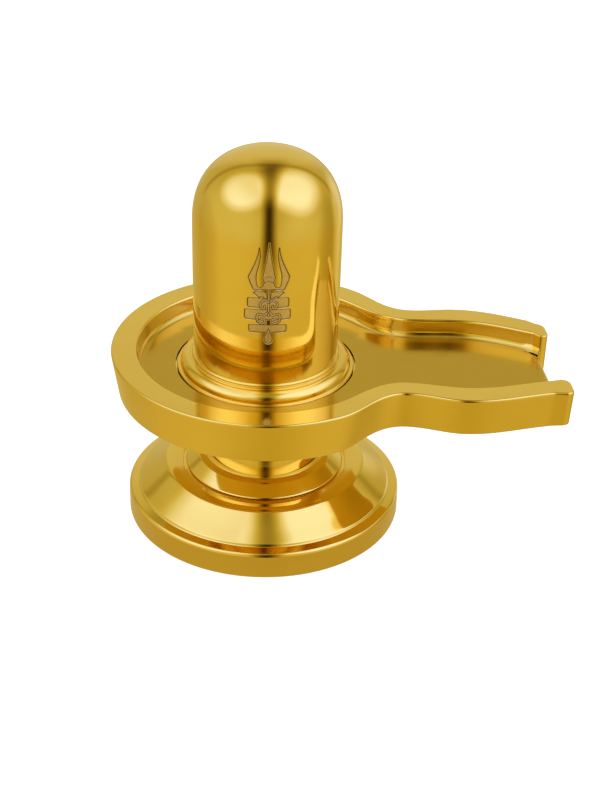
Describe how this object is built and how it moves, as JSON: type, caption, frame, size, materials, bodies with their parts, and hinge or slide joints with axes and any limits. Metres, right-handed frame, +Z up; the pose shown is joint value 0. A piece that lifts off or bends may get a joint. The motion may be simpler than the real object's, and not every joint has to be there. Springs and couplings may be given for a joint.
{
  "type": "shiva lingam",
  "caption": "Polished brass shiva lingam: a domed shaft with a sunk trident emblem in a round dish that drains through an open spout, on a turned pedestal.",
  "frame": {"origin": "on the shaft's axis at the flat underside of the base", "axes": "+Z up along the shaft, +X along the spout, and the emblem on the shaft looks towards -Y"},
  "size_m": [0.1004, 0.0678, 0.087],
  "materials": {
    "shaft_brass": "mirror polished, emblem etched matte",
    "dish_brass": "polished rim, satin basin floor",
    "pedestal_brass": "mirror polished"
  },
  "bodies": {
    "root": {"lingam": "shaft_brass", "yoni_dish": "dish_brass", "pedestal": "pedestal_brass"}
  },
  "joints": []
}
